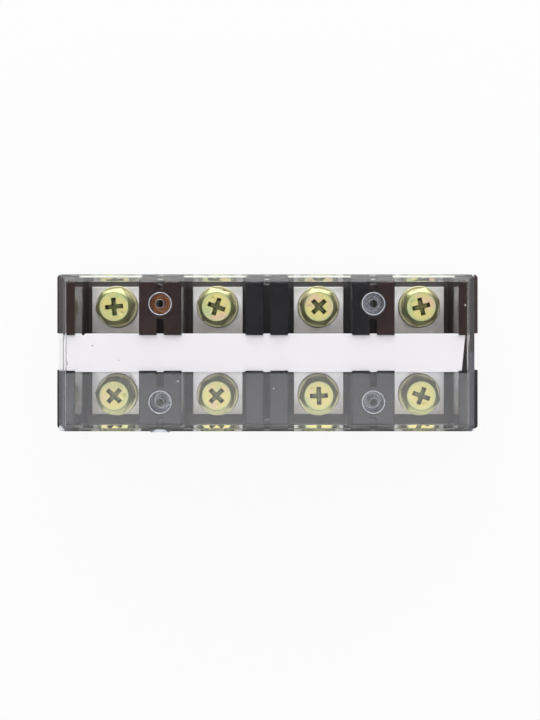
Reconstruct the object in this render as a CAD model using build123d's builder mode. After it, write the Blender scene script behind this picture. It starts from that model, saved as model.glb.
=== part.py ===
"""Four-pole barrier terminal strip with a clear lid, in millimetres.

X runs along the strip, Y across it and Z up, from the middle of the underside.
"""

import os
from math import cos, radians, sin, tan

from build123d import *

# Poles, and the double barriers between them
pole_count = 4
pitch = 30.0
barrier_wall = 5.0
barrier_groove = 2.0

# Base moulding
upper_width = 40.2
end_wall = 2.5
end_flange = 2.5
side_flange = 0.2
base_corner = 1.0
floor_z = 10.5
ledge_z = 24.0
barrier_top = 33.8
edge_break = 0.3
end_notch_width = 10.6
end_notch_depth = 3.0

# Middle rib, whose channel holds the marker strip under small lips at the walls
rib_width = 10.6
lip_width = 10.0
lip_height = 0.8
channel_height = 0.5

# Mounting holes through the outer barriers
mount_row_inset = 6.25
mount_hole = 4.5
head_recess = 7.2
head_seat_z = 8.0
recess_wall = 0.7

# Cavities that keep the walls of the moulding even, open below
core_width = 8.0
core_length = 17.0
long_core_length = 34.0
core_height = 20.0

# Conductor plates, thick enough to be tapped
plate_width = 15.0
plate_inset = 1.1
plate_thickness = 3.0
plate_gap = 0.1
well_gap = 0.6
row_inset = 7.05

# Terminal screws
thread_diameter = 6.0
thread_gap = 0.05
screw_length = 14.0
tip_gap = 0.7
head_flats = 10.0
head_height = 4.0
head_face = 8.9
head_bevel = 30.0
cross_span = 5.3
cross_arm = 1.25
cross_depth = 2.0
hexagon_lag = -10.0
turns_far_row = (-40.0, 115.0, 180.0, 149.0)
turns_near_row = (2.0, -90.0, 137.0, -65.0)

# Washers under each screw head
washer_diameter = 12.4
washer_thickness = 1.2
washer_gap = 0.2
spring_diameter = 10.8
spring_thickness = 1.5
split_width = 0.9
split_slant = 25.0
split_turns_far_row = (250.0, 60.0, 200.0, 330.0)
split_turns_near_row = (80.0, 300.0, 20.0, 160.0)

# Lid
lid_wall = 1.9
lid_top = 2.0
lid_gap = 0.1
lid_headroom = 0.2
lid_corner = 1.0
lid_edge = 2.0
peg_diameter = 5.9
peg_length = 10.0
peg_bore = 3.0
peg_cap = 1.2
key_width = 1.5
key_depth = 0.9
key_length = 8.0
gate_width = 5.4
gate_height = 1.2
gate_depth = 1.0
gate_proud = 0.2

# Marker strip
strip_width = 10.5
strip_thickness = 0.4
strip_setback = 0.1
strip_short = 0.5
strip_slant = 1.05
nick_radius = 0.5
nick_from_end = 4.7

# Places and sizes that follow from the ones above
pocket_width = pitch - 2 * barrier_wall - barrier_groove
pole_xs = [pitch * (n - (pole_count - 1) / 2) for n in range(pole_count)]
barrier_xs = [pitch * (n - (pole_count - 2) / 2) for n in range(pole_count - 1)]
upper_length = 2 * (pole_xs[-1] + pocket_width / 2 + end_wall)
lid_inner_length = upper_length + 2 * lid_gap
lid_inner_width = upper_width + 2 * lid_gap
lid_length = lid_inner_length + 2 * lid_wall
lid_width = lid_inner_width + 2 * lid_wall
base_length = lid_length + 2 * end_flange
base_width = lid_width + 2 * side_flange
lid_under = barrier_top + lid_headroom
lid_height = lid_under + lid_top
peg_end_z = lid_under - peg_length
gate_z = lid_height - lid_edge - gate_height / 2
channel_z = barrier_top - lip_height - channel_height
mount_row_spacing = upper_width - 2 * mount_row_inset
row_spacing = upper_width - 2 * row_inset
plate_length = upper_width - 2 * plate_inset
mount_places = [(x, side * mount_row_spacing / 2) for x in (barrier_xs[0], barrier_xs[-1]) for side in (1, -1)]
screw_places = [(x, side * row_spacing / 2) for side in (1, -1) for x in pole_xs]
plate_top = floor_z + plate_thickness
washer_top = plate_top + washer_thickness
head_z = washer_top + spring_thickness
bore_radius = thread_diameter / 2
shank_radius = bore_radius - thread_gap
well_side = 2 * (bore_radius + well_gap)
well_floor = head_z - screw_length - tip_gap


def make_base():
    """One moulding: floor, barriers, end walls and the rib along the middle."""
    side_run = base_width / 2 - rib_width / 2 + 1
    with BuildPart() as base:
        with BuildSketch():
            RectangleRounded(base_length, base_width, base_corner)
        extrude(amount=ledge_z)
        with BuildSketch(Plane.XY.offset(ledge_z)):
            Rectangle(upper_length, upper_width)
        extrude(amount=barrier_top - ledge_z)
        # Wiring pockets, open to both long sides
        with BuildSketch(Plane.XY.offset(floor_z)):
            with Locations(*[(x, side * (rib_width + side_run) / 2) for x in pole_xs for side in (1, -1)]):
                Rectangle(pocket_width, side_run)
        extrude(amount=barrier_top - floor_z, mode=Mode.SUBTRACT)
        # Broken edges round the tops of the barriers and end walls
        tops = base.edges().group_by(Axis.Z)[-1]
        chamfer(tops, edge_break)
        # Grooves that part each barrier into two walls above the ledge
        groove_run = upper_width / 2 - lip_width / 2
        with BuildSketch(Plane.XY.offset(ledge_z)):
            with Locations(*[(x, side * (lip_width + groove_run) / 2) for x in barrier_xs for side in (1, -1)]):
                Rectangle(barrier_groove, groove_run)
        extrude(amount=barrier_top - ledge_z, mode=Mode.SUBTRACT)
        # Walls of the screw recesses, across the grooves
        with BuildSketch(Plane.XY.offset(ledge_z)):
            with Locations(*mount_places):
                Circle(head_recess / 2 + recess_wall)
        extrude(amount=barrier_top - ledge_z)
        # Channel of the marker strip, undercut below lips at the barriers and end walls
        with BuildSketch(Plane.XY.offset(channel_z)):
            Rectangle(base_length, rib_width)
        extrude(amount=channel_height, mode=Mode.SUBTRACT)
        with BuildSketch(Plane.XY.offset(channel_z + channel_height)):
            Rectangle(base_length, lip_width)
            with Locations(*[(x, 0) for x in pole_xs]):
                Rectangle(pocket_width, rib_width)
        extrude(amount=lip_height, mode=Mode.SUBTRACT)
        # Slots of the plates through the rib
        with BuildSketch(Plane.XY.offset(floor_z)):
            with Locations(*[(x, 0) for x in pole_xs]):
                Rectangle(plate_width + 2 * plate_gap, rib_width)
        extrude(amount=plate_thickness + plate_gap, mode=Mode.SUBTRACT)
        # Wells below the screws
        with BuildSketch(Plane.XY.offset(well_floor)):
            with Locations(*screw_places):
                Rectangle(well_side, well_side)
        extrude(amount=floor_z - well_floor, mode=Mode.SUBTRACT)
        # Mounting holes
        with Locations(*[(x, y, barrier_top) for x, y in mount_places]):
            CounterBoreHole(mount_hole / 2, head_recess / 2, barrier_top - head_seat_z, barrier_top)
        # Notches in the end flanges
        with BuildSketch():
            with Locations(*[(side * (base_length - end_notch_depth) / 2, 0) for side in (1, -1)]):
                Rectangle(end_notch_depth, end_notch_width)
        extrude(amount=ledge_z, mode=Mode.SUBTRACT)
        # Cavities in the underside
        with BuildSketch():
            for x in barrier_xs:
                with Locations((x, 0)):
                    outer = x in (barrier_xs[0], barrier_xs[-1])
                    Rectangle(core_width, core_length if outer else long_core_length)
        extrude(amount=core_height, mode=Mode.SUBTRACT)
    return base.part


def make_lid():
    """Clear lid with its skirt, four hollow pegs and a key at each groove's end."""
    with BuildPart() as lid:
        with BuildSketch(Plane.XY.offset(ledge_z)):
            Rectangle(lid_length, lid_width)
        extrude(amount=lid_height - ledge_z)
        chamfer(lid.edges().group_by(Axis.Z)[-1], lid_edge)
        fillet(lid.edges().filter_by(Axis.Z), lid_corner)
        with BuildSketch(Plane.XY.offset(ledge_z)):
            Rectangle(lid_inner_length, lid_inner_width)
        extrude(amount=lid_under - ledge_z, mode=Mode.SUBTRACT)
        with BuildSketch(Plane.XY.offset(peg_end_z)):
            with Locations(*mount_places):
                Circle(peg_diameter / 2)
        extrude(amount=peg_length)
        with BuildSketch(Plane.XY.offset(peg_end_z)):
            with Locations(*mount_places):
                Circle(peg_bore / 2)
        extrude(amount=lid_height - peg_cap - peg_end_z, mode=Mode.SUBTRACT)
        with BuildSketch(Plane.XY.offset(lid_under - key_length)):
            with Locations(*[(x, side * (lid_inner_width - key_depth) / 2) for x in barrier_xs for side in (1, -1)]):
                Rectangle(key_width, key_depth)
        extrude(amount=key_length)
        # Broken-off gate at the foot of the near chamfer
        with BuildSketch(Plane.XY.offset(gate_z)):
            with Locations((barrier_xs[0], (gate_depth - lid_width) / 2 - gate_proud)):
                Rectangle(gate_width, gate_depth)
        extrude(amount=gate_height)
    return lid.part


def make_marker_strip():
    """White card in the rib's channel, cut slanting at its right-hand end."""
    left = -lid_inner_length / 2 + strip_setback
    right = upper_length / 2 - strip_short
    half = strip_width / 2
    with BuildPart() as strip:
        with BuildSketch(Plane.XY.offset(channel_z)):
            with BuildLine():
                Polyline((left, -half), (right - strip_slant, -half), (right, half), (left, half), close=True)
            make_face()
            with Locations((left + nick_from_end, half)):
                Circle(nick_radius, mode=Mode.SUBTRACT)
        extrude(amount=strip_thickness)
    return strip.part


def make_plate(x):
    """Plated bar across one pole, with a tapped hole near each end."""
    holes = [(x, side * row_spacing / 2) for side in (1, -1)]
    with BuildPart() as plate:
        with BuildSketch(Plane.XY.offset(floor_z)):
            with Locations((x, 0)):
                Rectangle(plate_width, plate_length)
            with Locations(*holes):
                Circle(bore_radius, mode=Mode.SUBTRACT)
        extrude(amount=plate_thickness)
    return plate.part


def make_flat_washer(x, y):
    with BuildPart() as washer:
        with BuildSketch(Plane.XY.offset(plate_top)):
            with Locations((x, y)):
                Circle(washer_diameter / 2)
                Circle(bore_radius + washer_gap, mode=Mode.SUBTRACT)
        extrude(amount=washer_thickness)
    return washer.part


def make_spring_washer(x, y, turn):
    """Split ring, drawn closed up flat as it is under the head."""
    reach = spring_diameter / 2
    split_height = 3 * spring_thickness
    with BuildPart() as spring:
        with BuildSketch(Plane.XY.offset(washer_top)):
            with Locations((x, y)):
                Circle(reach)
                Circle(bore_radius + washer_gap, mode=Mode.SUBTRACT)
        extrude(amount=spring_thickness)
        outward = Vector(cos(radians(turn)), sin(radians(turn)), 0)
        middle = Vector(x, y, washer_top + spring_thickness / 2) + outward * (reach + bore_radius) / 2
        across = outward.rotate(Axis.Z, 90).rotate(Axis((0, 0, 0), outward), split_slant)
        with BuildSketch(Plane(middle - across * split_width / 2, x_dir=outward, z_dir=across)):
            Rectangle(reach, split_height)
        extrude(amount=split_width, mode=Mode.SUBTRACT)
    return spring.part


def make_screw(x, y, turn):
    """Hexagon-head screw with a cross recess."""
    facing = (cos(radians(turn)), sin(radians(turn)), 0)
    seat = Plane((x, y, head_z), x_dir=facing, z_dir=(0, 0, 1))
    face = seat.offset(head_height)
    section = Plane((x, y, head_z), x_dir=facing, z_dir=-seat.y_dir)
    corner = head_flats
    with BuildPart() as screw:
        with BuildSketch(seat):
            RegularPolygon(head_flats / 2, 6, major_radius=False, rotation=hexagon_lag)
        extrude(amount=head_height)
        # Bevel that leaves a round face on top of the hexagon
        with BuildSketch(section):
            with BuildLine():
                Polyline(
                    (0, 0),
                    (corner, 0),
                    (corner, head_height - (corner - head_face / 2) * tan(radians(head_bevel))),
                    (head_face / 2, head_height),
                    (0, head_height),
                    close=True,
                )
            make_face()
        revolve(axis=Axis((x, y, head_z), (0, 0, 1)), mode=Mode.INTERSECT)
        with BuildSketch(seat.offset(-screw_length)):
            Circle(shank_radius)
        extrude(amount=screw_length)
        with BuildSketch(face):
            for arm in (45, 135):
                Rectangle(cross_span, cross_arm, rotation=arm)
        extrude(amount=-cross_depth, mode=Mode.SUBTRACT)
    return screw.part


def save(piece, label):
    piece.label = label
    export_step(piece, f"parts/{label}.step")


os.makedirs("parts", exist_ok=True)
save(make_base(), "base")
save(make_lid(), "lid")
save(make_marker_strip(), "marker_strip")
for number, x in enumerate(pole_xs, start=1):
    save(make_plate(x), f"conductor_plate_{number}")
turns = turns_far_row + turns_near_row
split_turns = split_turns_far_row + split_turns_near_row
for index, (x, y) in enumerate(screw_places):
    row = "a" if y > 0 else "b"
    place = f"{row}{index % pole_count + 1}"
    save(make_flat_washer(x, y), f"flat_washer_{place}")
    save(make_spring_washer(x, y, split_turns[index]), f"spring_washer_{place}")
    save(make_screw(x, y, turns[index]), f"terminal_screw_{place}")
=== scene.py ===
"""Barrier terminal strip: dark moulded base, clear lid, white card, plated bars and yellow zinc screws."""
from math import cos, pi, radians, tan

import bmesh
import bpy
from bpy.props import FloatProperty, FloatVectorProperty, IntProperty, PointerProperty
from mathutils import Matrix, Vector


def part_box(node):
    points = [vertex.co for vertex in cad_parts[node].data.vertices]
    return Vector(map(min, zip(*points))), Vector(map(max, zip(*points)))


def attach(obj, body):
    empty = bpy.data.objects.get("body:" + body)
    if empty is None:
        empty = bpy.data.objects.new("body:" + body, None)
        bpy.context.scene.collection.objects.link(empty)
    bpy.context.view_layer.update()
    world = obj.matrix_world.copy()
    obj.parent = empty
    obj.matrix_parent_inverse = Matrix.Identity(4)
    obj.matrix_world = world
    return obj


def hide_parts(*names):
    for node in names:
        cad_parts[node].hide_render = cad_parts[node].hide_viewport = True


bl_info = {
    "name": "Barrier Terminal Strip",
    "version": (1, 0, 0),
    "blender": (4, 5, 0),
    "location": "3D View > Sidebar > Terminal Strip",
    "description": "Dresses the packed terminal strip with its finishes, fasteners and stage",
    "category": "Object",
}

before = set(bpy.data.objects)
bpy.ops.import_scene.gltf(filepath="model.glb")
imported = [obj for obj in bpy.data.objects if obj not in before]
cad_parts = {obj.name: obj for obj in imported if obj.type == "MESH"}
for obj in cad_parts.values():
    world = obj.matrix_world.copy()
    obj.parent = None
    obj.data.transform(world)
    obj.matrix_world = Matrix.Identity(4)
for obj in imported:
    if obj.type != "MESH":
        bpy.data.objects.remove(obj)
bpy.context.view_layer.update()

MM = 0.001
PLACES = [f"{row}{number}" for row in "ab" for number in range(1, 5)]
POLE_PITCH, ROW_Y = 30 * MM, 13.05 * MM
FLOOR_Z, LEDGE_Z = 10.5 * MM, 24 * MM
LEVEL_BAND = 0.06 * MM
NEARLY = 0.05 * MM
NOTCH, NOTCH_SIDE = 58 * MM, 5.4 * MM
LEFT_NOTCH, RIGHT_NOTCH = -56.9 * MM, 58.6 * MM
CARD_SPREAD = 1.035
PLATE_IN, PLATE_OUT = 6 * MM, 19 * MM
PLATE_CROWN = 0.05
INNER_WALL = 20.2 * MM
WALL_CUT = 0.75 * MM
PEG = Vector((30 * MM, 13.85 * MM))
PEG_REACH = 3.05 * MM
PEG_OVERLAP = 0.4 * MM
UNDER_X, UNDER_Y = 56.5 * MM, 22.2 * MM
SPRING_Z, HEAD_Z, RECESS_Z, BEVEL_Z, FACE_Z = 14.8 * MM, 16.3 * MM, 17.2 * MM, 19.2 * MM, 20.06 * MM
SCREW_TURNS = dict(zip(PLACES, (-40, 115, 180, 149, 2, -90, 137, -65)))
SPLIT_TURNS = dict(zip(PLACES, (250, 60, 200, 330, 80, 300, 20, 160)))


def length(name, description, default):
    """A length property in metres."""
    return FloatProperty(
        name=name, description=description, default=default, min=0, precision=5, unit="LENGTH"
    )


def colour(name, description, default):
    return FloatVectorProperty(
        name=name, description=description, default=default, size=4, min=0, max=1, subtype="COLOR"
    )


def brightness(name, description, default):
    return FloatProperty(name=name, description=description, default=default, min=0)


class StripSettings(bpy.types.PropertyGroup):
    """Sizes and colours of the strip's pieces."""

    phenolic: colour("Phenolic", "Colour of the moulded base", (0.008, 0.008, 0.010, 1))
    phenolic_warm: colour("Phenolic flow", "Warmer colour near the moulding's ends", (0.030, 0.015, 0.012, 1))
    base_edge: length("Base edge", "Rounding of the base's edges", 0.18 * MM)
    lid_edge: length("Lid edge", "Rounding of the lid's edges", 0.1 * MM)
    lid_tint: colour("Lid tint", "Tint of the clear plastic", (0.93, 0.93, 0.94, 1))
    card: colour("Card", "Colour of the marker card", (0.93, 0.905, 0.91, 1))
    card_edge: length("Card edge", "Rounding of the card's cut edges", 0.1 * MM)
    plate: colour("Plate", "Colour of the plated bars", (0.90, 0.89, 0.87, 1))
    plate_edge: length("Plate edge", "Rounding of the bars' stamped edges", 0.25 * MM)
    zinc_yellow: colour("Zinc yellow", "Main colour of the passivated zinc", (0.78, 0.70, 0.26, 1))
    zinc_pink: colour("Zinc pink", "Pink of the passivated zinc where it shimmers", (0.82, 0.55, 0.42, 1))
    zinc_green: colour("Zinc green", "Green of the passivated zinc where it shimmers", (0.46, 0.62, 0.30, 1))
    head_flats: length("Across flats", "Width of the hexagon heads", 10 * MM)
    head_height: length("Head height", "Height of the hexagon heads", 4 * MM)
    head_face: length("Head face", "Diameter of the round face on each head", 8.5 * MM)
    head_edge: length("Head edge", "Rounding of the heads' edges", 0.14 * MM)
    cross_span: length("Cross span", "Span of the cross recess", 5.3 * MM)
    cross_arm: length("Cross arm", "Width of one arm of the recess", 1.35 * MM)
    cross_depth: length("Cross depth", "Depth of the recess", 2 * MM)
    dimple_offset: length("Dimple offset", "Distance of the dimple from the middle", 2.65 * MM)
    dimple_width: length("Dimple width", "Diameter of the dimple", 1.5 * MM)
    dimple_depth: length("Dimple depth", "Depth of the dimple", 0.12 * MM)
    thread_pitch: length("Thread pitch", "Rise of the thread in one turn", 1 * MM)
    thread_crest: length("Thread crest", "Radius at the thread's crest", 2.95 * MM)
    thread_root: length("Thread root", "Radius at the thread's root", 2.42 * MM)
    screw_length: length("Screw length", "Length under the head", 14 * MM)
    neck_length: length("Neck length", "Plain length under the head", 3 * MM)
    washer_diameter: length("Washer", "Diameter of the flat washers", 12.4 * MM)
    washer_thickness: length("Washer thickness", "Thickness of the flat washers", 1.2 * MM)
    washer_hole: length("Washer hole", "Hole of both kinds of washer", 6.4 * MM)
    spring_diameter: length("Spring washer", "Diameter of the spring washers", 10.8 * MM)
    spring_thickness: length("Spring thickness", "Thickness of the spring washers", 1.5 * MM)
    split_width: length("Split", "Width of the spring washers' split", 0.9 * MM)
    washer_edge: length("Washer edge", "Rounding of the washers' edges", 0.22 * MM)
    ring_steps: IntProperty(name="Ring steps", description="Steps round each ring", default=96, min=12)
    peg_root: length("Peg root", "Radius of the lid's pegs at their root", 3.05 * MM)
    peg_tip: length("Peg tip", "Radius of the lid's pegs at their tip", 2.15 * MM)
    bore_tip: length("Bore tip", "Radius of the pegs' bores at their mouth", 1.6 * MM)
    bore_end: length("Bore end", "Radius of the pegs' bores at their end", 1.2 * MM)
    bore_depth: length("Bore depth", "Depth of the pegs' bores", 10.8 * MM)
    near_light: brightness("Near light", "Brightness of the near light panel", 1.5)
    top_light: brightness("Top light", "Brightness of the light panel overhead", 1.9)
    far_light: brightness("Far light", "Brightness of the far light wall", 2.4)


class Wire:
    """One socket of a node tree; arithmetic on it adds Math nodes."""

    def __init__(self, tree, socket):
        self.tree, self.socket = tree, socket

    def math(self, operation, *values):
        return self.tree.add("ShaderNodeMath", {"operation": operation}, dict(enumerate(values)))

    def other(self, key):
        """Another output of the same node."""
        return Wire(self.tree, self.socket.node.outputs[key])

    def __add__(self, value):
        return self.math("ADD", self, value)

    def __radd__(self, value):
        return self.math("ADD", value, self)

    def __sub__(self, value):
        return self.math("SUBTRACT", self, value)

    def __rsub__(self, value):
        return self.math("SUBTRACT", value, self)

    def __mul__(self, value):
        return self.math("MULTIPLY", self, value)

    def __rmul__(self, value):
        return self.math("MULTIPLY", value, self)

    def __truediv__(self, value):
        return self.math("DIVIDE", self, value)

    def __rtruediv__(self, value):
        return self.math("DIVIDE", value, self)

    def __gt__(self, value):
        return self.math("GREATER_THAN", self, value)

    def __lt__(self, value):
        return self.math("LESS_THAN", self, value)

    def absolute(self):
        return self.math("ABSOLUTE", self)

    def clamped(self):
        """Kept between 0 and 1."""
        return self.math("MAXIMUM", self.math("MINIMUM", self, 1.0), 0.0)

    def step(self, low, high):
        """Rises smoothly from 0 at low to 1 at high."""
        settings = {"interpolation_type": "SMOOTHSTEP"}
        return self.tree.add(
            "ShaderNodeMapRange", settings, {"Value": self, "From Min": low, "From Max": high}
        )


class Tree:
    """Adds nodes to one node tree."""

    def __init__(self, tree):
        self.tree = tree

    def add(self, kind, settings=None, sockets=None, out=0):
        """A node of this type with its settings, then its sockets' values or links; returns one output."""
        node = self.tree.nodes.new(kind)
        for key, value in (settings or {}).items():
            setattr(node, key, value)
        for key, value in (sockets or {}).items():
            for one in value if isinstance(value, list) else [value]:
                if isinstance(one, Wire):
                    self.tree.links.new(one.socket, node.inputs[key])
                else:
                    node.inputs[key].default_value = one
        return Wire(self, node.outputs[out]) if node.outputs else None

    def parts(self, vector):
        """The X of a vector; its Y and Z are the same node's other outputs."""
        return self.add("ShaderNodeSeparateXYZ", None, {0: vector})

    def joined(self, x=0.0, y=0.0, z=0.0):
        """A vector of these three parts."""
        return self.add("ShaderNodeCombineXYZ", None, {0: x, 1: y, 2: z})

    def vector(self, operation, *values):
        return self.add("ShaderNodeVectorMath", {"operation": operation}, dict(enumerate(values)))

    def mix(self, factor, first, second):
        """Two colours mixed by a factor."""
        return self.add("ShaderNodeMix", {"data_type": "RGBA"}, {0: factor, 6: first, 7: second}, 2)

    def noise(self, where, scale, detail=2.0, roughness=0.5, distortion=0.0):
        sockets = {"Vector": where, "Scale": scale, "Detail": detail, "Roughness": roughness}
        return self.add("ShaderNodeTexNoise", None, sockets | {"Distortion": distortion})

    def stretched(self, where, scale, turn=0.0, move=(0, 0, 0)):
        sockets = {"Vector": where, "Scale": scale, "Rotation": (0, 0, turn), "Location": move}
        return self.add("ShaderNodeMapping", None, sockets)

    def specks(self, where, scale, share, size):
        """Sparse round specks: 1 on a speck, 0 off it."""
        cells = self.add("ShaderNodeTexVoronoi", None, {"Vector": where, "Scale": scale, "Randomness": 1.0})
        chance = self.add("ShaderNodeSeparateColor", None, {"Color": cells.other("Color")})
        wide = chance.other("Green") * size
        return (chance < share) * (1 - (cells / wide).step(0.6, 1.0))

    def reach(self, where, middle, spans):
        """Distance from a point in millimetres, as a share of these spans; a span of 0 drops its axis."""
        scale = tuple(1 / span / MM if span else 0 for span in spans)
        shift = tuple(-place / span if span else 0 for place, span in zip(middle, spans))
        return self.vector("LENGTH", self.vector("MULTIPLY_ADD", where, scale, shift)).other("Value")

    def combine(self, operation, meshes):
        """An exact boolean of these meshes."""
        return self.add("GeometryNodeMeshBoolean", {"operation": operation, "solver": "EXACT"}, meshes)

    def bump(self, height, strength, distance):
        sockets = {"Strength": strength, "Distance": distance, "Height": height}
        return self.add("ShaderNodeBump", None, sockets)


def new_material(name):
    """An empty node material and its tree."""
    material = bpy.data.materials.new(name)
    material.use_nodes = True
    material.node_tree.nodes.clear()
    return material, Tree(material.node_tree)


def finish_material(tree, shader):
    tree.add("ShaderNodeOutputMaterial", None, {"Surface": shader})


def phenolic_material(settings):
    """Dark moulded phenolic with dust specks, warmer towards its ends, glossy on its walls, rough on its
    floors and ledges, lighter grey-brown on the floors' outer sills, with painted bluish light on the near
    side's end ledges.
    """
    material, tree = new_material("phenolic")
    where = tree.add("ShaderNodeTexCoord", out="Object")
    along = tree.parts(where)
    side, height = along.other("Y"), along.other("Z")
    away = along.absolute()
    flow = tree.noise(tree.stretched(where, (1, 1.8, 0.6)), 60, 4, 0.6, 0.8).step(0.42, 0.72)
    fine = tree.noise(where, 900, 3, 0.6)
    dust = tree.specks(where, 520, 0.05, 0.22) * 0.8
    ends = (0.008 - along).step(0.024, 0.036) + (along + flow * 0.004).step(0.028, 0.034)
    ends = (ends * (side > 0) * 0.85 + flow * 0.15).clamped()
    ledge = (height - LEDGE_Z).absolute() < LEVEL_BAND
    low = (height - FLOOR_Z).absolute() < LEVEL_BAND
    # Painted light: the near side's end ledges get a bluish lighter colour for the light they catch.
    painted_flange_light = (away > 0.0562) * (away < 0.0585) * (side < 0) * ledge
    # Lighter grey-brown on the floors' outer sills, mottled by the flow noise.
    sill = side.absolute().step(0.0186, 0.0190) * low
    shade = tree.mix(ends, tuple(settings.phenolic), tuple(settings.phenolic_warm))
    shade = tree.mix(sill * (0.6 + flow * 0.4), shade, (0.060, 0.055, 0.052, 1))
    shade = tree.mix(painted_flange_light, shade, (0.25, 0.25, 0.30, 1))
    shade = tree.mix(dust, shade, (0.45, 0.42, 0.40, 1))
    rough = 0.09 + flow * 0.04 + fine * 0.04 + dust * 0.3 + (low + ledge - painted_flange_light) * 0.48
    surface = tree.add(
        "ShaderNodeBsdfPrincipled",
        None,
        {"Base Color": shade, "Roughness": rough, "IOR": 1.55, "Normal": tree.bump(fine, 0.08, 0.00003)},
    )
    finish_material(tree, surface)
    return material


def clear_material(settings):
    """Clear plastic that lets the lamps through, with an ejector ring mark, painted white and orange ring
    glints at the pegs, frosted breaks and sparse dust.
    """
    material, tree = new_material("clear_plastic")
    where = tree.add("ShaderNodeTexCoord", out="Object")
    ripple = tree.noise(where, 70, 1, 0.4)
    mark = tree.reach(where, (19.1, 8.5, 36), (1.35, 1.35, 3))
    ring = 1 - (mark - 1).absolute().step(0.03, 0.10)
    along = tree.parts(where)
    side, height = along.other("Y"), along.other("Z")
    # Painted reflection: an orange ring in one peg's tip, for the coloured reflection seen there.
    painted_amber_glint = tree.reach(where, (-PEG.x / MM, PEG.y / MM, 0), (1, 1, 0))
    painted_amber_glint = painted_amber_glint.step(1.2, 1.4) * (1 - painted_amber_glint.step(2.0, 2.2)) * (height < 0.0245)
    folded = tree.vector("ABSOLUTE", where)
    out = tree.reach(folded, (PEG.x / MM, PEG.y / MM, 0), (1, 1, 0))
    mark_and_painted_glints = ring * (height > 0.0358) * 0.3
    # Painted highlights: thin white ring glints at the pegs' roots, tips and bore ends, where the clear pegs
    # show their glints.
    for radius, level, wide in ((3.1, 34.0, 0.16), (2.1, 24.0, 0.24), (1.6, 24.0, 0.16), (1.2, 34.8, 0.08)):
        gap, rise = out - radius, height - level * MM
        line = 1 - gap.absolute().step(wide * 0.5, wide * 1.4)
        mark_and_painted_glints = line * (rise.absolute() < 0.0005) * 0.9 + mark_and_painted_glints
    wall = side.absolute().step(0.0205, 0.0208)
    tint = tree.mix(wall, tuple(settings.lid_tint), (0.80, 0.83, 0.76, 1))
    clear = tree.add(
        "ShaderNodeBsdfPrincipled",
        None,
        {
            "Base Color": tint,
            "Roughness": 0.015,
            "IOR": 1.52,
            "Transmission Weight": 1.0,
            "Normal": tree.bump(ripple, 0.05, 0.00003),
        },
    )
    frost_and_painted_glints = mark_and_painted_glints + painted_amber_glint * 0.9
    breaks = (((-30, -22.1, 34), (3.1, 1.0, 1.0)), ((-58, -21.6, 34.5), (1.3, 1.3, 1.6)),
              ((58.3, -21.8, 34.3), (0.6, 0.7, 1)), ((58.3, 21.9, 34.4), (0.5, 0.5, 1)))
    for middle, spans in breaks:
        frost_and_painted_glints = (1 - tree.reach(where, middle, spans).step(0.7, 1.05)) + frost_and_painted_glints
    broken = tree.noise(where, 1800, 3, 0.7).step(0.25, 0.5)
    # The pale shader below serves the frosted breaks, the ring mark and the painted glints; its orange share
    # is the painted reflection.
    paint = tree.mix(painted_amber_glint, (0.86, 0.88, 0.95, 1), (0.60, 0.22, 0.06, 1))
    white = {"Base Color": paint, "Roughness": 0.4, "Metallic": 0.5}
    white = tree.add("ShaderNodeBsdfPrincipled", None, white)
    dust = {"Base Color": (0.7, 0.68, 0.66, 1), "Roughness": 0.9}
    dust = tree.add("ShaderNodeBsdfPrincipled", None, dust)
    specks = tree.specks(where, 260, 0.03, 0.16) * 0.6
    skin = tree.add("ShaderNodeMixShader", None, {0: specks, 1: clear, 2: dust})
    skin = tree.add("ShaderNodeMixShader", None, {0: frost_and_painted_glints.clamped() * broken * 0.9, 1: skin, 2: white})
    lamp = tree.add("ShaderNodeBsdfTransparent", None, {"Color": (0.965, 0.965, 0.97, 1)})
    shadow = tree.add("ShaderNodeLightPath", out="Is Shadow Ray")
    finish_material(tree, tree.add("ShaderNodeMixShader", None, {0: shadow, 1: skin, 2: lamp}))
    return material


def card_material(settings):
    """White card with a faint grain, some specks, brown tears at its near edge and a painted highlight along
    its far edge.
    """
    material, tree = new_material("white_card")
    where = tree.add("ShaderNodeTexCoord", out="Object")
    grain = tree.noise(where, 1500, 3, 0.7)
    cloud = tree.noise(where, 45, 2, 0.5).step(0.35, 0.7)
    shade = tree.mix(cloud, tuple(settings.card), (0.90, 0.88, 0.885, 1))
    # Painted highlight: a lighter strip along the card's far (+Y) edge, where it catches the light.
    edge = tree.parts(where).other("Y").step(0.0050, 0.0052)
    shade = tree.mix(edge, shade, (0.99, 0.98, 0.97, 1))
    specks = tree.specks(where, 330, 0.02, 0.12) * 0.4
    shade = tree.mix(specks, shade, (0.30, 0.24, 0.20, 1))
    wander = 0.8 * MM
    nudge = tree.vector("MULTIPLY", tree.noise(where, 900, 2).other("Color"), (wander, wander, wander))
    nudged = tree.vector("ADD", where, nudge)
    middle = wander / 2 / MM
    brown, grey = (0.20, 0.075, 0.045, 1), (0.12, 0.10, 0.09, 1)
    marks = ((-4.3, -5.3, 1.3, 0.34, brown), (5.4, -5.3, 0.4, 0.32, brown), (-49.3, 2.0, 0.22, 0.2, grey),
             (-41.7, -2.2, 0.24, 0.22, grey), (-30.8, 2.3, 0.16, 0.16, grey), (-29.3, -4.2, 0.16, 0.16, grey),
             (-56.2, -3.0, 0.12, 0.75, grey))
    for x, y, wide, high, stain in marks:
        mark = tree.reach(nudged, (x + middle, y + middle, 0), (wide, high, 0))
        shade = tree.mix((1 - mark.step(0.6, 1.1)) * 0.85, shade, stain)
    surface = tree.add(
        "ShaderNodeBsdfPrincipled",
        None,
        {"Base Color": shade, "Roughness": 0.55 + grain * 0.15, "Normal": tree.bump(grain, 0.15, 0.00003)},
    )
    finish_material(tree, surface)
    return material


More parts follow.
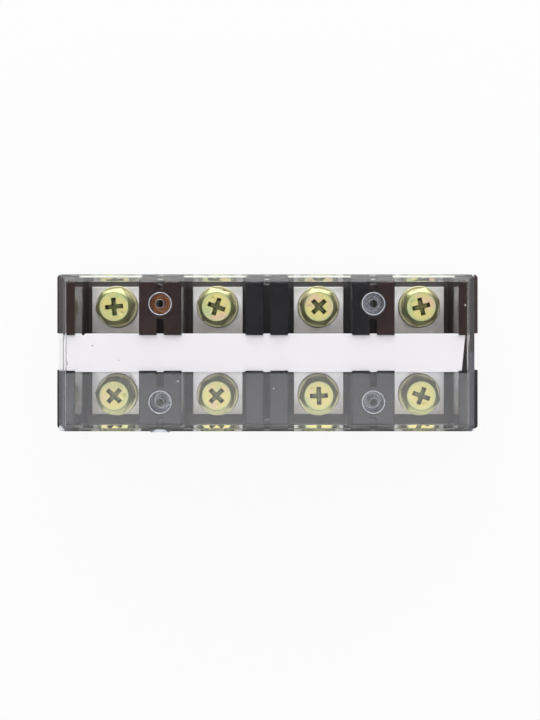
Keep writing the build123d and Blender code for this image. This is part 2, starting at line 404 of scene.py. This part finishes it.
def plate_material(settings):
    """Tin plate with a fine grain and soft stains, painted shade that deepens down each face, and slightly
    crowned.
    """
    material, tree = new_material("tin_plate")
    where = tree.add("ShaderNodeTexCoord", out="Object")
    stain = tree.noise(where, 130, 3, 0.6).step(0.35, 0.75)
    grain = tree.noise(tree.stretched(where, (1, 0.25, 1)), 2600, 3, 0.6)
    shade = tree.mix(stain * 0.6, tuple(settings.plate), (0.72, 0.70, 0.66, 1))
    across = tree.parts(where).other("Y")
    near_row = across < 0
    # Painted shade: each row's face darkens from its +Y end to its -Y end, a little more in the near row,
    # mottled by the stains.
    run = (PLATE_OUT - across - near_row * (PLATE_OUT + PLATE_IN)) / (PLATE_OUT - PLATE_IN)
    crown = across.absolute() * -PLATE_CROWN + grain * 0.0000015
    painted_falloff = run.step(0.1, 1.0) * (0.55 + stain * 0.25 + near_row * 0.1)
    shade = tree.mix(painted_falloff, shade, (0.42, 0.38, 0.34, 1))
    specks = tree.specks(where, 500, 0.05, 0.2) * 0.5
    shade = tree.mix(specks, shade, (0.25, 0.23, 0.2, 1))
    surface = tree.add(
        "ShaderNodeBsdfPrincipled",
        None,
        {
            "Base Color": shade,
            "Metallic": 0.5,
            "Roughness": 0.17 + stain * 0.06 + grain * 0.05,
            "Normal": tree.bump(crown, 1.0, 1.0),
        },
    )
    finish_material(tree, surface)
    return material


def zinc_material(settings):
    """Yellow passivated zinc that shimmers pink and green, with scuffs, painted shade on the lower flanks
    that face the middle rib, a painted dark line round each round face and painted shade in the recess.
    """
    material, tree = new_material("yellow_zinc")
    where = tree.add("ShaderNodeTexCoord", out="Object")
    pink = tree.noise(where, 170, 2, 0.5, 0.6).step(0.50, 0.72)
    green = tree.noise(tree.stretched(where, (1, 1, 1), 0, (3, 1, 2)), 210, 2, 0.5, 0.4).step(0.50, 0.74)
    scuff = tree.noise(tree.stretched(where, (1, 0.3, 1), 0.6), 1500, 3, 0.7).step(0.62, 0.75)
    grain = tree.noise(where, 2200, 3, 0.6)
    shade = tree.mix(pink * 0.75, tuple(settings.zinc_yellow), tuple(settings.zinc_pink))
    shade = tree.mix(green * 0.7, shade, tuple(settings.zinc_green))
    folded = tree.vector("ABSOLUTE", where)
    folded = tree.vector("SUBTRACT", folded, (POLE_PITCH, ROW_Y, 0))
    outward = tree.parts(folded).other("Y").step(0.0015, 0.0035)
    folded = tree.vector("ABSOLUTE", folded)
    folded = tree.vector("SUBTRACT", folded, (POLE_PITCH / 2, 0, 0))
    out = tree.reach(folded, (0, 0, 0), (1, 1, 0))
    height = tree.parts(where).other("Z")
    shade = tree.mix(out.step(3.3, 4.2) * (height > HEAD_Z) * 0.6, shade, (0.56, 0.64, 0.33, 1))
    streak = tree.noise(tree.stretched(where, (1, 1, 6)), 260, 3, 0.6, 0.5)
    # Painted shade: the lower flanks facing the middle rib are painted dark, streaked with painted brown
    # sheen and darker streaks; the outward flanks stay lit.
    low = (1 - height.step(BEVEL_Z - 0.4 * MM, BEVEL_Z + 0.2 * MM)) * (1 - outward)
    shade = tree.mix(low * (height > SPRING_Z) * 0.9, shade, (0.07, 0.06, 0.03, 1))
    shade = tree.mix(streak.step(0.52, 0.60) * low * 0.75, shade, (0.66, 0.38, 0.15, 1))
    shade = tree.mix((1 - streak.step(0.38, 0.50)) * low * 0.6, shade, (0.10, 0.085, 0.04, 1))
    shade = tree.mix(scuff * 0.35, shade, (0.82, 0.80, 0.72, 1))
    # Painted shade: the cross recess is painted dark olive for the shade inside it.
    inside = (out < 2.75) * (height > RECESS_Z) * (FACE_Z - height).step(0, 0.12 * MM)
    shade = tree.mix(inside * 0.8, shade, (0.14, 0.16, 0.06, 1))
    # Painted shade: a thin dark olive line round the edge of each round face, where it turns into the bevel.
    painted_rim_line = out - 4.27
    painted_rim_line = 1 - painted_rim_line.absolute().step(0.03, 0.12)
    shade = tree.mix(painted_rim_line * (height > FACE_Z - 0.16 * MM) * 0.75, shade, (0.18, 0.22, 0.09, 1))
    surface = tree.add(
        "ShaderNodeBsdfPrincipled",
        None,
        {
            "Base Color": shade,
            "Metallic": 0.8 - outward * (height < BEVEL_Z) * 0.5,
            "Roughness": 0.29 + grain * 0.07 + scuff * 0.1,
            "Normal": tree.bump(grain, 0.10, 0.00003),
        },
    )
    finish_material(tree, surface)
    return material


def floor_material():
    """Pale floor that looks white and keeps a faint shadow, with a painted shadow under the strip and painted
    shade beside its near side for rays that are not camera rays.
    """
    material, tree = new_material("pale_floor")
    where = tree.add("ShaderNodeTexCoord", out="Object")
    away = tree.vector("ABSOLUTE", where)
    away = tree.parts(away)
    near = 0 - tree.parts(where).other("Y")
    dark = (0.05, 0.05, 0.05, 1)
    path = tree.add("ShaderNodeLightPath", out="Is Camera Ray")
    seen = (path + path.other("Is Glossy Ray") + path.other("Is Transmission Ray")).clamped()
    # Painted shadow: the floor under the strip's footprint is painted dark for every ray.
    under = (away < UNDER_X) * (away.other("Y") < UNDER_Y)
    # Painted shade: a band next to the strip's near side is darkened for rays other than camera rays, so the
    # lid refracts and reflects a shaded floor there.
    painted_front_shade = near.step(0.0215, 0.026) * (1 - near.step(0.034, 0.05)) * (away < 0.062) * (1 - path) * 0.75
    pale = tree.mix(under, (0.9, 0.9, 0.9, 1), dark)
    white = tree.mix((under + painted_front_shade).clamped(), (1, 1, 1, 1), dark)
    plain = tree.add("ShaderNodeBsdfPrincipled", None, {"Base Color": pale, "Roughness": 0.9})
    glow = tree.add("ShaderNodeEmission", None, {"Color": white, "Strength": 1.0})
    finish_material(tree, tree.add("ShaderNodeMixShader", None, {0: seen * 0.9, 1: plain, 2: glow}))
    return material


def place_piece(piece, body, slot, *nodes):
    """The piece rides on its body and stands for its nodes, which are hidden; the slot is not used."""
    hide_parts(*nodes)
    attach(piece, body)


def plain_mesh(piece):
    """Turns a piece's modifiers into a plain mesh whose large faces keep their shading flat."""
    shading = piece.modifiers.new("shading", "WEIGHTED_NORMAL")
    shading.mode = "FACE_AREA"
    shading.weight = 95
    graph = bpy.context.evaluated_depsgraph_get()
    mesh = bpy.data.meshes.new_from_object(piece.evaluated_get(graph))
    piece.modifiers.clear()
    piece.data = mesh
    mesh.name = piece.name
    return piece


def add_piece(name, mesh):
    piece = bpy.data.objects.new(name, mesh)
    bpy.context.scene.collection.objects.link(piece)
    return piece


def add_shape(piece, group, values):
    """Adds a geometry tree with these values to a piece."""
    modifier = piece.modifiers.new("shape", "NODES")
    modifier.node_group = group
    for item in group.interface.items_tree:
        if item.in_out == "INPUT" and item.name in values:
            modifier[item.identifier] = values[item.name]


def add_rounding(piece, edge, method):
    """Rounds a piece's edges, the sharp ones or those with a weight."""
    rounding = piece.modifiers.new("edges", "BEVEL")
    rounding.width = edge
    rounding.segments = 2
    rounding.limit_method = method
    rounding.angle_limit = radians(25)


def worn_copy(node, name, edge, material, prepare=None, group=None, values=None):
    """A merged copy of a node's mesh with its flat faces joined, grown on if asked, and its edges rounded."""
    shape = bmesh.new()
    shape.from_mesh(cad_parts[node].data)
    bmesh.ops.remove_doubles(shape, verts=shape.verts, dist=1e-6)
    if prepare:
        prepare(shape)
    bmesh.ops.dissolve_limit(shape, angle_limit=radians(1), verts=shape.verts, edges=shape.edges)
    for face in shape.faces:
        face.smooth = True
    mesh = bpy.data.meshes.new(name)
    shape.to_mesh(mesh)
    shape.free()
    mesh.materials.clear()
    mesh.materials.append(material)
    piece = add_piece(name, mesh)
    if group:
        add_shape(piece, group, values)
    add_rounding(piece, edge, "ANGLE")
    return plain_mesh(piece)


def new_shape_tree(name, inputs):
    """A geometry tree with named inputs: its group, its tree and the inputs' wires by name."""
    group = bpy.data.node_groups.new(name, "GeometryNodeTree")
    group.interface.new_socket("Geometry", in_out="OUTPUT", socket_type="NodeSocketGeometry")
    for title, kind, default in inputs:
        socket = group.interface.new_socket(title, in_out="INPUT", socket_type=kind)
        if default is not None:
            socket.default_value = default
    tree = Tree(group)
    start = group.nodes.new("NodeGroupInput")
    return group, tree, {title: Wire(tree, start.outputs[title]) for title, kind, default in inputs}


def finish_shape_tree(tree, shape, material):
    real = tree.add("GeometryNodeRealizeInstances", None, {"Geometry": shape})
    done = tree.add("GeometryNodeSetMaterial", None, {"Geometry": real, "Material": material})
    tree.add("NodeGroupOutput", None, {0: done})


def grow(name, group, values, edge=0.0):
    """A plain mesh grown by a geometry tree with these values, its marked edges rounded."""
    piece = add_piece(name, bpy.data.meshes.new(name))
    add_shape(piece, group, values)
    if edge:
        add_rounding(piece, edge, "WEIGHT")
    return plain_mesh(piece)


def screw_tree(settings):
    """Hexagon screw: bevelled head with a cross recess and a dimple, plain neck and right-hand thread."""
    sizes = ("head_flats", "head_height", "head_face", "cross_span", "cross_arm", "cross_depth",
             "dimple_offset", "dimple_width", "dimple_depth", "thread_pitch", "thread_crest", "thread_root",
             "screw_length", "neck_length")
    inputs = [("Place", "NodeSocketVector", None), ("Turn", "NodeSocketFloat", 0.0),
              ("Hexagon Turn", "NodeSocketFloat", radians(-10))]
    inputs += [(size, "NodeSocketFloat", getattr(settings, size)) for size in sizes]
    inputs += [("Material", "NodeSocketMaterial", None)]
    group, tree, given = new_shape_tree("terminal_screw", inputs)

    def moved(shape, x=0.0, z=0.0, turn=0.0):
        shift, spin = tree.joined(x=x, z=z), tree.joined(z=turn)
        return tree.add(
            "GeometryNodeTransform", None, {"Geometry": shape, "Translation": shift, "Rotation": spin}
        )

    def cut(shape, cutter):
        return tree.combine("DIFFERENCE", {"Mesh 1": shape, "Mesh 2": cutter})

    height, flats, face = given["head_height"], given["head_flats"], given["head_face"]
    prism = {"Vertices": 6, "Radius": flats * (0.5 / cos(pi / 6)), "Depth": height}
    prism = tree.add("GeometryNodeMeshCylinder", None, prism)
    prism = moved(prism, z=height * 0.5, turn=given["Hexagon Turn"])
    foot = face * 0.5 + height / tan(pi / 6)
    hood = {"Vertices": 96, "Radius Top": face * 0.5, "Radius Bottom": foot, "Depth": height}
    hood = tree.add("GeometryNodeMeshCone", None, hood)
    head = tree.combine("INTERSECT", {"Mesh 2": [prism, hood]})
    depth = given["cross_depth"]
    for turn in (pi / 4, 3 * pi / 4):
        size = tree.joined(given["cross_span"], given["cross_arm"], depth * 2)
        arm = tree.add("GeometryNodeMeshCube", None, {"Size": size})
        spot = tree.add("GeometryNodeInputPosition")
        parts = tree.parts(spot)
        narrow_x = parts * (1 + parts.other("Z") / depth * 0.30)
        narrow_y = parts.other("Y") * (1 + parts.other("Z") / depth * 0.34)
        tapered = tree.joined(narrow_x, narrow_y, parts.other("Z"))
        arm = tree.add("GeometryNodeSetPosition", None, {"Geometry": arm, "Position": tapered})
        head = cut(head, moved(arm, z=height, turn=turn))
    middle = tree.add(
        "GeometryNodeMeshCone",
        None,
        {"Vertices": 32, "Radius Top": given["cross_arm"] * 0.85, "Radius Bottom": given["cross_arm"] * 0.3,
         "Depth": depth * 1.25},
    )
    head = cut(head, moved(middle, z=height - depth * 1.1))
    wide, deep = given["dimple_width"] * 0.5, given["dimple_depth"]
    ball = (wide * wide + deep * deep) / (deep * 2)
    dent = tree.add("GeometryNodeMeshUVSphere", None, {"Segments": 40, "Rings": 24, "Radius": ball})
    head = cut(head, moved(dent, x=given["dimple_offset"], z=height + ball - deep))
    angle = tree.add("GeometryNodeInputMeshEdgeAngle")
    sharp = angle > 0.35
    head = tree.add("GeometryNodeSetShadeSmooth", {"domain": "FACE"}, {0: head, "Shade Smooth": True})
    head = tree.add(
        "GeometryNodeStoreNamedAttribute",
        {"data_type": "FLOAT", "domain": "EDGE"},
        {0: head, "Name": "bevel_weight_edge", "Value": sharp},
    )

    # Shank: a grid bent round the axis, one column an angle and one row a height
    around, rows, spare_turns = 64, 240, 40.0
    sheet = {"Size X": 1.0, "Size Y": 1.0, "Vertices X": around + 1, "Vertices Y": rows}
    sheet = tree.add("GeometryNodeMeshGrid", None, sheet)
    parts = tree.parts(tree.add("GeometryNodeInputPosition"))
    share, down = parts + 0.5, 0.5 - parts.other("Y")
    overlap = height * 0.3
    drop = down * (given["screw_length"] + overlap) - overlap
    laps = drop / given["thread_pitch"] + share + spare_turns
    ridge = ((laps.math("FRACT", laps) - 0.5).absolute() * 2).step(0.16, 0.84)
    crest, root = given["thread_crest"], given["thread_root"]
    neck = root + (crest - root) * 0.45
    begun = (drop / given["neck_length"]).step(0.9, 1.08)
    tip = ((given["screw_length"] - drop) / given["thread_pitch"]).step(0.0, 0.9)
    full = root + (crest - root) * ridge
    radius = neck + (full - neck) * begun
    radius = (root * 0.86) + (radius - root * 0.86) * tip
    radius = radius * (down > 0.5 / rows) * (down < 1 - 0.5 / rows)
    turned = share * (2 * pi)
    cosine, sine = turned.math("COSINE", turned), turned.math("SINE", turned)
    bent = tree.joined(radius * cosine, radius * sine, drop * -1.0)
    shank = tree.add("GeometryNodeSetPosition", None, {"Geometry": sheet, "Position": bent})
    shank = tree.add("GeometryNodeMergeByDistance", None, {"Geometry": shank, "Distance": 0.000002})
    shank = tree.add("GeometryNodeSetShadeSmooth", {"domain": "FACE"}, {0: shank, "Shade Smooth": True})
    whole = tree.add("GeometryNodeJoinGeometry", None, {"Geometry": [shank, head]})
    spin = tree.joined(z=given["Turn"])
    whole = tree.add(
        "GeometryNodeTransform", None, {"Geometry": whole, "Translation": given["Place"], "Rotation": spin}
    )
    finish_shape_tree(tree, whole, given["Material"])
    return group


def ring_tree():
    """A ring of rounded rectangular section, whole or with a slanting split."""
    inputs = [("Place", "NodeSocketVector", None), ("Turn", "NodeSocketFloat", 0.0),
              ("Outside", "NodeSocketFloat", 0.0124), ("Hole", "NodeSocketFloat", 0.0064),
              ("Thickness", "NodeSocketFloat", 0.0012), ("Edge", "NodeSocketFloat", 0.0002),
              ("Split", "NodeSocketFloat", 0.0), ("Slant", "NodeSocketFloat", radians(25)),
              ("Steps", "NodeSocketInt", 96), ("Material", "NodeSocketMaterial", None)]
    group, tree, given = new_shape_tree("washer_ring", inputs)
    middle = (given["Outside"] + given["Hole"]) * 0.25
    circle = {"Resolution": given["Steps"], "Radius": middle}
    missing = given["Split"] / middle
    sweep = {"Start Angle": missing * 0.5, "Sweep Angle": 2 * pi - missing}
    whole = tree.add("GeometryNodeCurvePrimitiveCircle", None, circle)
    arc = tree.add("GeometryNodeCurveArc", None, circle | sweep)
    choice = {"Switch": given["Split"] > 0, "False": whole, "True": arc}
    line = tree.add("GeometryNodeSwitch", {"input_type": "GEOMETRY"}, choice)
    line = tree.add("GeometryNodeSetCurveNormal", {"mode": "Z_UP"}, {0: line})
    section = tree.add(
        "GeometryNodeCurvePrimitiveQuadrilateral",
        None,
        {"Width": (given["Outside"] - given["Hole"]) * 0.5, "Height": given["Thickness"]},
    )
    section = tree.add(
        "GeometryNodeFilletCurve", {"mode": "POLY"}, {"Curve": section, "Count": 3, "Radius": given["Edge"]}
    )
    swept = {"Curve": line, "Profile Curve": section, "Fill Caps": True}
    ring = tree.add("GeometryNodeCurveToMesh", None, swept)
    spot = tree.add("GeometryNodeInputPosition")
    lift = tree.parts(spot).other("Z")
    lean = lift * given["Slant"].math("TANGENT", given["Slant"]) / middle
    twist = {"Vector": spot, "Angle": lean * (given["Split"] > 0)}
    twisted = tree.add("ShaderNodeVectorRotate", {"rotation_type": "Z_AXIS"}, twist)
    ring = tree.add("GeometryNodeSetPosition", None, {"Geometry": ring, "Position": twisted})
    angle = tree.add("GeometryNodeInputMeshEdgeAngle")
    ring = tree.add("GeometryNodeSetShadeSmooth", {"domain": "FACE"}, {0: ring, "Shade Smooth": True})
    ring = tree.add("GeometryNodeSetShadeSmooth", {"domain": "EDGE"}, {0: ring, "Shade Smooth": angle < 0.7})
    spin = tree.joined(z=given["Turn"])
    ring = tree.add(
        "GeometryNodeTransform", None, {"Geometry": ring, "Translation": given["Place"], "Rotation": spin}
    )
    finish_shape_tree(tree, ring, given["Material"])
    return group


def fit_notches(shape):
    """Takes the left end's notch in under the lid's wall and ends the right one beside it."""
    for corner in shape.verts:
        if abs(abs(corner.co.x) - NOTCH) < NEARLY and abs(corner.co.y) < NOTCH_SIDE:
            corner.co.x = RIGHT_NOTCH if corner.co.x > 0 else LEFT_NOTCH


def widen_card(shape):
    """Widens the card to the channel's walls."""
    for corner in shape.verts:
        corner.co.y *= CARD_SPREAD


def drop_pegs(shape):
    """Thins the lid's long walls from inside and takes its straight pegs off, with their holes closed."""
    def near(spot):
        return (Vector((abs(spot.x), abs(spot.y))) - PEG).length < PEG_REACH

    for corner in shape.verts:
        if abs(abs(corner.co.y) - INNER_WALL) < NEARLY:
            corner.co.y *= (INNER_WALL + WALL_CUT) / INNER_WALL
    pegs = [face for face in shape.faces if all(near(corner.co) for corner in face.verts)]
    bmesh.ops.delete(shape, geom=pegs, context="FACES")
    bmesh.ops.holes_fill(shape, edges=[edge for edge in shape.edges if edge.is_boundary], sides=0)
    bmesh.ops.recalc_face_normals(shape, faces=shape.faces)


def peg_tree(settings):
    """Adds four drafted pegs to a lid, each with a blind bore from its tip."""
    sizes = ("peg_root", "peg_tip", "bore_tip", "bore_end", "bore_depth")
    inputs = [("Geometry", "NodeSocketGeometry", None), ("Tip", "NodeSocketFloat", 0.024),
              ("Root", "NodeSocketFloat", 0.034)]
    inputs += [(size, "NodeSocketFloat", getattr(settings, size)) for size in sizes]
    inputs += [("Material", "NodeSocketMaterial", None)]
    group, tree, given = new_shape_tree("lid_pegs", inputs)
    corners = {"Size X": 2 * PEG.x, "Size Y": 2 * PEG.y, "Vertices X": 2, "Vertices Y": 2}
    corners = tree.add("GeometryNodeMeshGrid", None, corners)
    start = tree.joined(z=given["Tip"])
    corners = tree.add("GeometryNodeTransform", None, {"Geometry": corners, "Translation": start})

    def cones(low, high, depth):
        cone = {"Vertices": 72, "Radius Top": high, "Radius Bottom": low, "Depth": depth}
        cone = tree.add("GeometryNodeMeshCone", None, cone)
        cone = tree.add("GeometryNodeSetShadeSmooth", {"domain": "FACE"}, {0: cone, "Shade Smooth": True})
        many = tree.add("GeometryNodeInstanceOnPoints", None, {"Points": corners, "Instance": cone})
        return tree.add("GeometryNodeRealizeInstances", None, {"Geometry": many})

    run = given["Root"] - given["Tip"]
    pegs = cones(given["peg_tip"], given["peg_root"], run + PEG_OVERLAP)
    bores = cones(given["bore_tip"], given["bore_end"], given["bore_depth"])
    whole = tree.combine("UNION", {"Mesh 2": [given["Geometry"], pegs]})
    whole = tree.combine("DIFFERENCE", {"Mesh 1": whole, "Mesh 2": bores})
    finish_shape_tree(tree, whole, given["Material"])
    return group


def washer_middle(place):
    """The middle of a place's screw, at the underside of its flat washer."""
    low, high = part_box(f"flat_washer_{place}")
    return Vector(((low.x + high.x) / 2, (low.y + high.y) / 2, low.z))


class StripOperator:
    """What the operators share."""

    bl_options = {"REGISTER", "UNDO"}

    def execute(self, context):
        self.make(context.scene.strip_settings)
        return {"FINISHED"}


class STRIP_OT_stage(StripOperator, bpy.types.Operator):
    """Make the pale floor, the light panels, the sky and the camera"""

    bl_idname = "strip.stage"
    bl_label = "Stage"

    def make(self, settings):
        floor = bmesh.new()
        bmesh.ops.create_grid(floor, x_segments=1, y_segments=1, size=2.5)
        mesh = bpy.data.meshes.new("floor")
        floor.to_mesh(mesh)
        floor.free()
        mesh.materials.append(floor_material())
        add_piece("floor", mesh)
        self.panel("near_panel", (0, -0.2285, 1.0), (0, 0, -1), (0.8, 0.343), settings.near_light)
        self.panel("top_panel", (0, 0.35, 1.0), (0, 0, -1), (1.0, 0.5), settings.top_light)
        self.panel("far_panel", (0, 0.9, 0.5), (0, -1, 0), (1.2, 1.0), settings.far_light)
        self.sky()
        self.camera()
        bpy.context.scene.view_settings.view_transform = "Standard"

    def panel(self, name, place, facing, size, brightness):
        """A light panel at a place, turned to face a direction."""
        lamp = bpy.data.lights.new(name, "AREA")
        lamp.shape = "RECTANGLE"
        lamp.size, lamp.size_y = size
        lamp.energy = brightness * pi * lamp.size * lamp.size_y
        lamp.color = (0.97, 0.975, 1.0)
        panel = bpy.data.objects.new(name, lamp)
        panel.location = place
        panel.rotation_euler = Vector(facing).to_track_quat("-Z", "Y").to_euler()
        panel.visible_camera = False
        bpy.context.scene.collection.objects.link(panel)

    def sky(self):
        """Bright round the horizon and dim overhead."""
        world = bpy.data.worlds.new("studio")
        bpy.context.scene.world = world
        world.use_nodes = True
        world.node_tree.nodes.clear()
        tree = Tree(world.node_tree)
        towards = tree.add("ShaderNodeTexCoord", out="Generated")
        up = tree.parts(towards).other("Z")
        strength = 1.0 - up.step(0.2, 0.9) * 0.9
        sky = tree.add("ShaderNodeBackground", None, {"Color": (1, 1, 1, 1), "Strength": strength})
        tree.add("ShaderNodeOutputWorld", None, {"Surface": sky})

    def camera(self):
        lens = bpy.data.cameras.new("camera")
        lens.lens, lens.sensor_width = 58.94, 36
        lens.shift_x, lens.shift_y = -0.0278, -0.0681
        camera = bpy.data.objects.new("camera", lens)
        camera.location = (0.00654, 0.0118, 0.366)
        bpy.context.scene.collection.objects.link(camera)
        bpy.context.scene.camera = camera


class STRIP_OT_base(StripOperator, bpy.types.Operator):
    """Make the dark moulded base"""

    bl_idname = "strip.base"
    bl_label = "Base"

    def make(self, settings):
        base = worn_copy("base", "moulded_base", settings.base_edge, phenolic_material(settings), fit_notches)
        place_piece(base, "strip", "phenolic", "base")


class STRIP_OT_lid(StripOperator, bpy.types.Operator):
    """Make the clear lid"""

    bl_idname = "strip.lid"
    bl_label = "Lid"

    def make(self, settings):
        finish = clear_material(settings)
        low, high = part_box("lid")
        values = {"Tip": low.z, "Root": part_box("base")[1].z + 0.0002, "Material": finish}
        lid = worn_copy("lid", "clear_lid", settings.lid_edge, finish, drop_pegs, peg_tree(settings), values)
        place_piece(lid, "lid", "clear_plastic", "lid")


class STRIP_OT_card(StripOperator, bpy.types.Operator):
    """Make the white marker card"""

    bl_idname = "strip.card"
    bl_label = "Marker card"

    def make(self, settings):
        finish = card_material(settings)
        card = worn_copy("marker_strip", "marker_card", settings.card_edge, finish, widen_card)
        place_piece(card, "strip", "white_card", "marker_strip")


class STRIP_OT_plates(StripOperator, bpy.types.Operator):
    """Make the four plated bars"""

    bl_idname = "strip.plates"
    bl_label = "Plated bars"

    def make(self, settings):
        finish = plate_material(settings)
        for number in range(1, 5):
            node = f"conductor_plate_{number}"
            plate = worn_copy(node, f"plated_bar_{number}", settings.plate_edge, finish)
            place_piece(plate, "strip", "plated_conductor", node)


class STRIP_OT_screws(StripOperator, bpy.types.Operator):
    """Make the eight terminal screws"""

    bl_idname = "strip.screws"
    bl_label = "Terminal screws"

    def make(self, settings):
        group = screw_tree(settings)
        finish = zinc_material(settings)
        for place in PLACES:
            seat = washer_middle(place)
            seat.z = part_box(f"spring_washer_{place}")[1].z
            values = {"Place": seat, "Turn": radians(SCREW_TURNS[place]), "Material": finish}
            screw = grow(f"hexagon_screw_{place}", group, values, settings.head_edge)
            place_piece(screw, f"screw_{place}", "yellow_zinc", f"terminal_screw_{place}")


class STRIP_OT_washers(StripOperator, bpy.types.Operator):
    """Make the flat and spring washers"""

    bl_idname = "strip.washers"
    bl_label = "Washers"

    def make(self, settings):
        group = ring_tree()
        finish = bpy.data.materials["yellow_zinc"]
        for place in PLACES:
            foot = washer_middle(place)
            common = {
                "Hole": settings.washer_hole,
                "Edge": settings.washer_edge,
                "Steps": settings.ring_steps,
                "Material": finish,
            }
            flat = grow(f"flat_ring_{place}", group, common | {
                "Place": foot + Vector((0, 0, settings.washer_thickness / 2)),
                "Outside": settings.washer_diameter,
                "Thickness": settings.washer_thickness,
            })
            place_piece(flat, f"washers_{place}", "yellow_zinc", f"flat_washer_{place}")
            spring = grow(f"split_ring_{place}", group, common | {
                "Place": foot + Vector((0, 0, settings.washer_thickness + settings.spring_thickness / 2)),
                "Turn": radians(SPLIT_TURNS[place]),
                "Outside": settings.spring_diameter,
                "Thickness": settings.spring_thickness,
                "Split": settings.split_width,
            })
            place_piece(spring, f"washers_{place}", "yellow_zinc", f"spring_washer_{place}")


OPERATORS = (STRIP_OT_stage, STRIP_OT_base, STRIP_OT_plates, STRIP_OT_card, STRIP_OT_screws, STRIP_OT_washers,
             STRIP_OT_lid)


class STRIP_PT_panel(bpy.types.Panel):
    """Lists the strip's pieces"""

    bl_idname = "STRIP_PT_panel"
    bl_label = "Terminal Strip"
    bl_space_type = "VIEW_3D"
    bl_region_type = "UI"
    bl_category = "Terminal Strip"

    def draw(self, context):
        for operator in OPERATORS:
            self.layout.operator(operator.bl_idname)
        for name in StripSettings.__annotations__:
            self.layout.prop(context.scene.strip_settings, name)


CLASSES = (StripSettings, *OPERATORS, STRIP_PT_panel)


def register():
    for kind in CLASSES:
        bpy.utils.register_class(kind)
    bpy.types.Scene.strip_settings = PointerProperty(type=StripSettings)


def unregister():
    del bpy.types.Scene.strip_settings
    for kind in reversed(CLASSES):
        bpy.utils.unregister_class(kind)


def main():
    """Makes every piece in order."""
    register()
    for operator in OPERATORS:
        family, name = operator.bl_idname.split(".")
        getattr(getattr(bpy.ops, family), name)()


if __name__ == "__main__":
    main()
